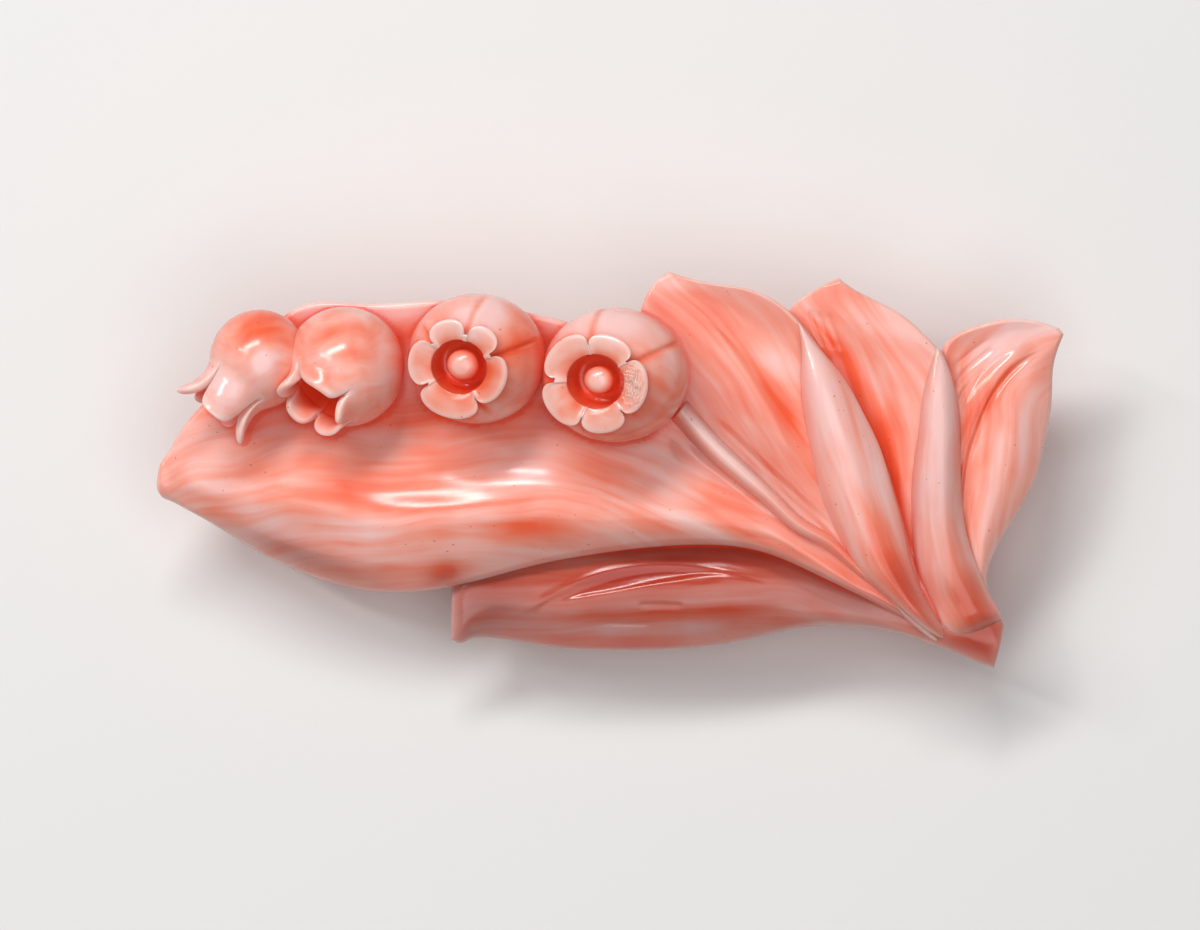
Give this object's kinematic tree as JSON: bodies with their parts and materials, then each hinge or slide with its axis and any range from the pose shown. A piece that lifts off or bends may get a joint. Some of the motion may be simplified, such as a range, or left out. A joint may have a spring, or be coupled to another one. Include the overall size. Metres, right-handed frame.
{
  "type": "obidome",
  "caption": "Carved coral spray of bell flowers and cupped leaves, ground flat behind, with a low metal fitting on its back that a flat sash cord threads through.",
  "frame": {"origin": "middle of the clip's footprint, on the surface it lies on face up", "axes": "+X along the spray towards the cut stalk, +Y towards the leaf rim behind the bells, +Z out of the carved face"},
  "size_m": [0.06, 0.0262, 0.0188],
  "materials": {
    "coral": "polished precious coral, salmon with pale and orange streaks",
    "fitting_metal": "satin, lightly rubbed where the cord runs"
  },
  "bodies": {
    "root": {"coral_carving": "coral", "cord_fitting": "fitting_metal"}
  },
  "joints": []
}
